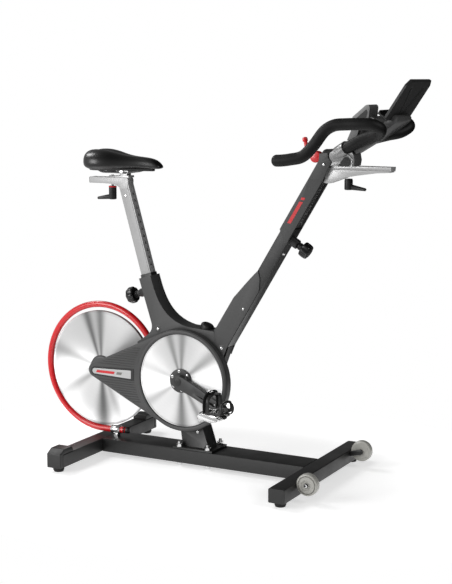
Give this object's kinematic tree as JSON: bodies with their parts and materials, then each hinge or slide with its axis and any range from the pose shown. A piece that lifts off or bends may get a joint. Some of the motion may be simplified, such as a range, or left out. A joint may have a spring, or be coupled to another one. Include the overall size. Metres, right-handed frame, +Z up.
{
  "type": "indoor spin bike",
  "caption": "Stationary bike with a rear flywheel under a hooped guard, belt cover, pedals with toe cages, sliding saddle and bar, tablet tray, and a broad steel base.",
  "frame": {"origin": "on the floor, under the middle of the bike's length and width", "axes": "+X forward, towards the handlebar; +Y to the rider's left; +Z up. The belt cover is on the right, at -Y"},
  "size_m": [1.2169, 0.551, 1.1409],
  "materials": {
    "bar_foam": "matte, fine grain",
    "black_plastic": "satin moulded",
    "black_rubber": "matte",
    "black_steel": "satin powder coat",
    "chrome_steel": "polished",
    "dark_plastic": "textured moulded",
    "flywheel_steel": "radially brushed",
    "grey_plastic": "satin moulded",
    "grey_steel": "satin",
    "light_metal": "brushed",
    "red_steel": "gloss paint",
    "saddle_skin": "glossy",
    "wheel_plastic": "hard, slightly cloudy"
  },
  "bodies": {
    "frame": {"base_spine": "black_steel", "rear_crossbar": "black_steel", "front_crossbar": "black_steel", "rear_end_cap_right": "black_plastic", "rear_end_cap_left": "black_plastic", "rear_foot_right": "black_rubber", "rear_foot_left": "black_rubber", "front_foot_right": "black_rubber", "front_foot_left": "black_rubber", "wheel_bracket_right": "black_steel", "wheel_bracket_left": "black_steel", "rear_base_bolt_right": "chrome_steel", "rear_base_bolt_left": "chrome_steel", "front_base_bolt_right": "chrome_steel", "front_base_bolt_left": "chrome_steel", "pedestal": "black_steel", "frame_web": "dark_plastic", "seat_tube": "black_steel", "mast_tube": "black_steel", "seat_tube_cover": "grey_plastic", "mast_cover": "grey_plastic", "frame_plug": "dark_plastic", "belt_cover_right": "grey_plastic", "belt_cover_left": "grey_plastic", "flywheel_arm_right": "grey_steel", "flywheel_arm_left": "grey_steel", "flywheel_axle": "chrome_steel", "flywheel_guard": "red_steel", "guard_clamp": "black_steel", "drive_belt": "black_rubber"},
    "wheel_right": {"transport_wheel_right": "wheel_plastic"},
    "wheel_left": {"transport_wheel_left": "wheel_plastic"},
    "crankset": {"crank_axle": "grey_steel", "front_disc": "flywheel_steel", "drive_pulley": "dark_plastic", "crank_arm_right": "grey_steel", "crank_arm_left": "grey_steel"},
    "flywheel": {"flywheel": "flywheel_steel", "flywheel_hub": "grey_steel"},
    "magnet_carrier": {"magnet_carrier": "dark_plastic"},
    "pedal_right": {"pedal_right": "black_plastic", "toe_cage_right": "black_plastic"},
    "pedal_left": {"pedal_left": "black_plastic", "toe_cage_left": "black_plastic"},
    "seat_post": {"seat_post": "light_metal"},
    "seat_slider": {"seat_slider": "light_metal", "saddle": "saddle_skin"},
    "seat_knob": {"seat_knob": "black_plastic"},
    "seat_lever": {"seat_lever": "black_plastic"},
    "bar_post": {"bar_post": "black_steel", "bar_post_cover": "grey_plastic", "bar_rail": "light_metal"},
    "bar_slider": {"bar_clamp": "light_metal", "handlebar": "bar_foam", "console_base": "grey_plastic", "display": "black_plastic", "tablet_tray": "black_plastic"},
    "bar_knob": {"bar_knob": "black_plastic"},
    "bar_lever": {"bar_lever": "black_plastic"},
    "resistance_lever": {"resistance_lever": "red_steel"}
  },
  "joints": [
    {"name": "crank_spin", "type": "hinge", "parent": "frame", "child": "crankset", "pos_m": [-0.104, 0, 0.2625], "axis": [0, 1, 0], "continuous": true},
    {"name": "flywheel_spin", "type": "hinge", "parent": "frame", "child": "flywheel", "pos_m": [-0.407, 0, 0.2635], "axis": [0, 1, 0], "continuous": true},
    {"name": "pedal_right_spin", "type": "hinge", "parent": "crankset", "child": "pedal_right", "pos_m": [0.05329, -0.14, 0.19799], "axis": [0, 1, 0], "continuous": true},
    {"name": "pedal_left_spin", "type": "hinge", "parent": "crankset", "child": "pedal_left", "pos_m": [-0.26129, 0.14, 0.32701], "axis": [0, 1, 0], "continuous": true},
    {"name": "wheel_right_spin", "type": "hinge", "parent": "frame", "child": "wheel_right", "pos_m": [0.376, -0.194, 0.0535], "axis": [0, 1, 0], "continuous": true},
    {"name": "wheel_left_spin", "type": "hinge", "parent": "frame", "child": "wheel_left", "pos_m": [0.376, 0.194, 0.0535], "axis": [0, 1, 0], "continuous": true},
    {"name": "seat_height", "type": "slide", "parent": "frame", "child": "seat_post", "axis": [-0.2756, 0, 0.9613], "range_m": [-0.15, 0.05]},
    {"name": "seat_fore_aft", "type": "slide", "parent": "seat_post", "child": "seat_slider", "axis": [1, 0, 0], "range_m": [-0.05, 0.015]},
    {"name": "seat_clamp_turn", "type": "hinge", "parent": "seat_slider", "child": "seat_lever", "pos_m": [-0.362, 0, 0.8115], "axis": [0, 0, 1], "range_deg": [-60, 60]},
    {"name": "seat_knob_pull", "type": "slide", "parent": "frame", "child": "seat_knob", "axis": [-0.9613, 0, -0.2756], "range_m": [0, 0.01], "stiffness_N_per_m": 800, "springref_m": -0.005},
    {"name": "handlebar_height", "type": "slide", "parent": "frame", "child": "bar_post", "axis": [0.515, 0, 0.8572], "range_m": [-0.1, 0.05]},
    {"name": "bar_knob_pull", "type": "slide", "parent": "frame", "child": "bar_knob", "axis": [0.8572, 0, -0.515], "range_m": [0, 0.01], "stiffness_N_per_m": 800, "springref_m": -0.005},
    {"name": "handlebar_fore_aft", "type": "slide", "parent": "bar_post", "child": "bar_slider", "axis": [1, 0, 0], "range_m": [0, 0.09]},
    {"name": "bar_clamp_turn", "type": "hinge", "parent": "bar_slider", "child": "bar_lever", "pos_m": [0.402, 0, 0.8615], "axis": [0, 0, 1], "range_deg": [-60, 60]},
    {"name": "resistance_turn", "type": "hinge", "parent": "bar_post", "child": "resistance_lever", "pos_m": [0.306, 0, 0.9295], "axis": [0, 1, 0], "range_deg": [-20, 40]},
    {"name": "magnet_swing", "type": "hinge", "parent": "frame", "child": "magnet_carrier", "pos_m": [-0.216, 0, 0.1915], "axis": [0, 1, 0], "range_deg": [-4.2, 8.2]}
  ],
  "couplings": [
    {"joint": "flywheel_spin", "follows": "crank_spin", "ratio": 10},
    {"joint": "magnet_swing", "follows": "resistance_turn", "ratio": 0.2}
  ]
}
